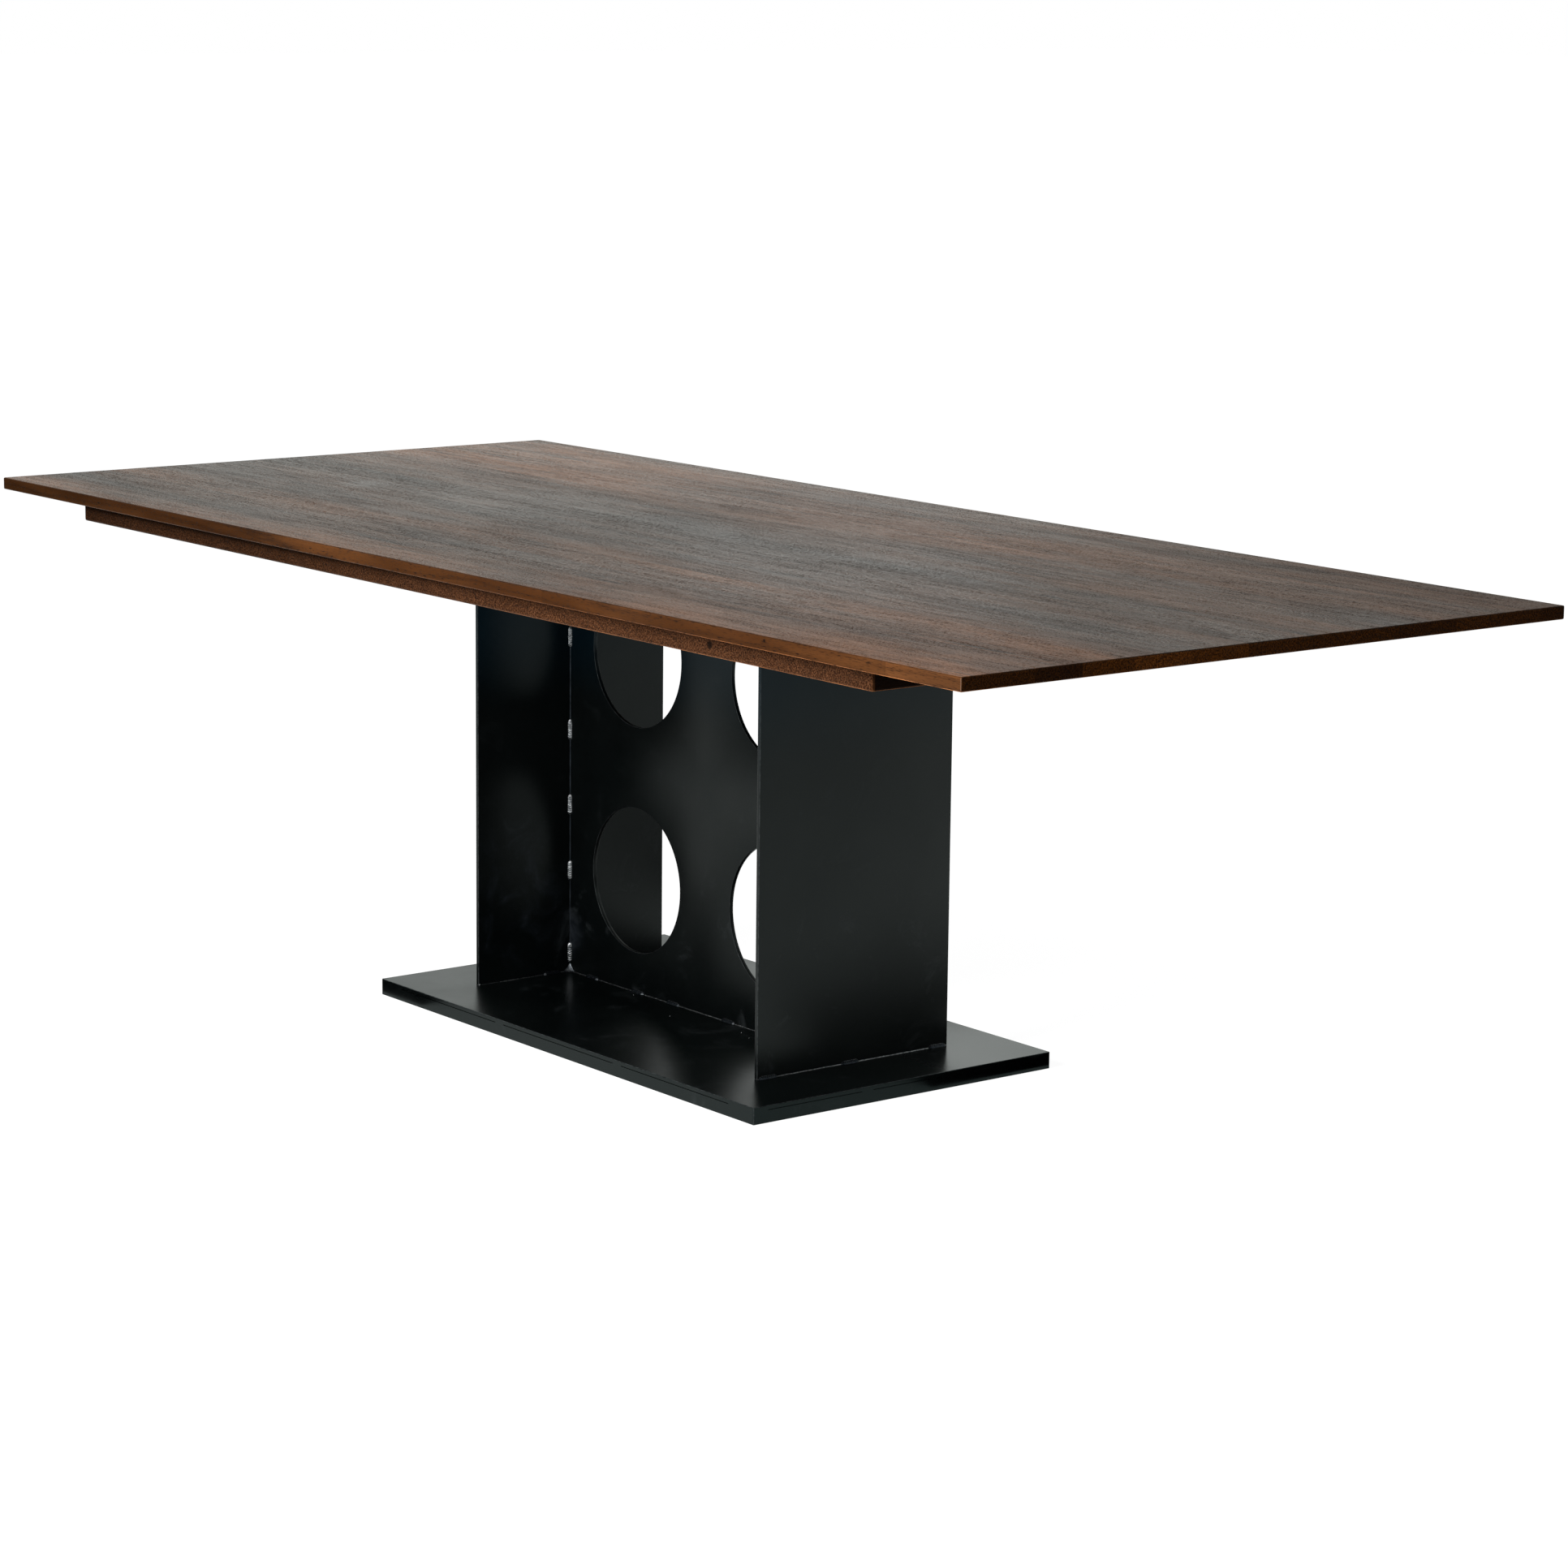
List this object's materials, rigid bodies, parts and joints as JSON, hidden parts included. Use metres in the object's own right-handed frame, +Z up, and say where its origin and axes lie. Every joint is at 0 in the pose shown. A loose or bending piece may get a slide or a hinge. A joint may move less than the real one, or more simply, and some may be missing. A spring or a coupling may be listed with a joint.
{
  "type": "table",
  "caption": "Long dining table: a thin slab of walnut planks on a set-back under layer, carried by a welded black steel plate pedestal with round holes through its web.",
  "frame": {"origin": "on the floor, under the middle of the base plate", "axes": "+X along the table's length towards its right end, +Y across it towards the rear edge, +Z up"},
  "size_m": [2.4384, 1.0668, 0.762],
  "materials": {
    "walnut": "satin oiled walnut, long grain, each plank its own tone",
    "walnut_cross_boards": "satin oiled walnut, end grain on the long faces",
    "black_steel": "satin black over steel plate, faintly blue-green at grazing light",
    "bare_steel": "bright weld metal and zinc-plated screws"
  },
  "bodies": {
    "root": {"base_lower_plate": "black_steel", "base_upper_plate": "black_steel", "web_plate": "black_steel", "left_end_panel": "black_steel", "right_end_panel": "black_steel", "top_flange": "black_steel", "left_panel_base_weld": "bare_steel", "left_panel_flange_weld": "bare_steel", "right_panel_base_weld": "bare_steel", "right_panel_flange_weld": "bare_steel", "front_bay_weld": "bare_steel", "rear_bay_weld": "bare_steel", "top_screw_1": "bare_steel", "top_screw_2": "bare_steel", "top_screw_3": "bare_steel", "top_screw_4": "bare_steel", "top_screw_5": "bare_steel", "top_screw_6": "bare_steel", "top_screw_7": "bare_steel", "top_screw_8": "bare_steel", "top_plank_01": "walnut", "top_plank_02": "walnut", "top_plank_03": "walnut", "top_plank_04": "walnut", "top_plank_05": "walnut", "top_plank_06": "walnut", "top_plank_07": "walnut", "top_plank_08": "walnut", "top_plank_09": "walnut", "top_plank_10": "walnut", "top_plank_11": "walnut", "top_plank_12": "walnut", "under_board_01": "walnut_cross_boards", "under_board_02": "walnut_cross_boards", "under_board_03": "walnut_cross_boards", "under_board_04": "walnut_cross_boards", "under_board_05": "walnut_cross_boards", "under_board_06_front": "walnut_cross_boards", "under_board_06_rear": "walnut_cross_boards", "under_board_07_front": "walnut_cross_boards", "under_board_07_rear": "walnut_cross_boards", "under_board_08_front": "walnut_cross_boards", "under_board_08_rear": "walnut_cross_boards", "under_board_09_front": "walnut_cross_boards", "under_board_09_rear": "walnut_cross_boards", "under_board_10_front": "walnut_cross_boards", "under_board_10_rear": "walnut_cross_boards", "under_board_11_front": "walnut_cross_boards", "under_board_11_rear": "walnut_cross_boards", "under_board_12": "walnut_cross_boards", "under_board_13": "walnut_cross_boards", "under_board_14": "walnut_cross_boards", "under_board_15": "walnut_cross_boards", "under_board_16": "walnut_cross_boards"}
  },
  "joints": []
}
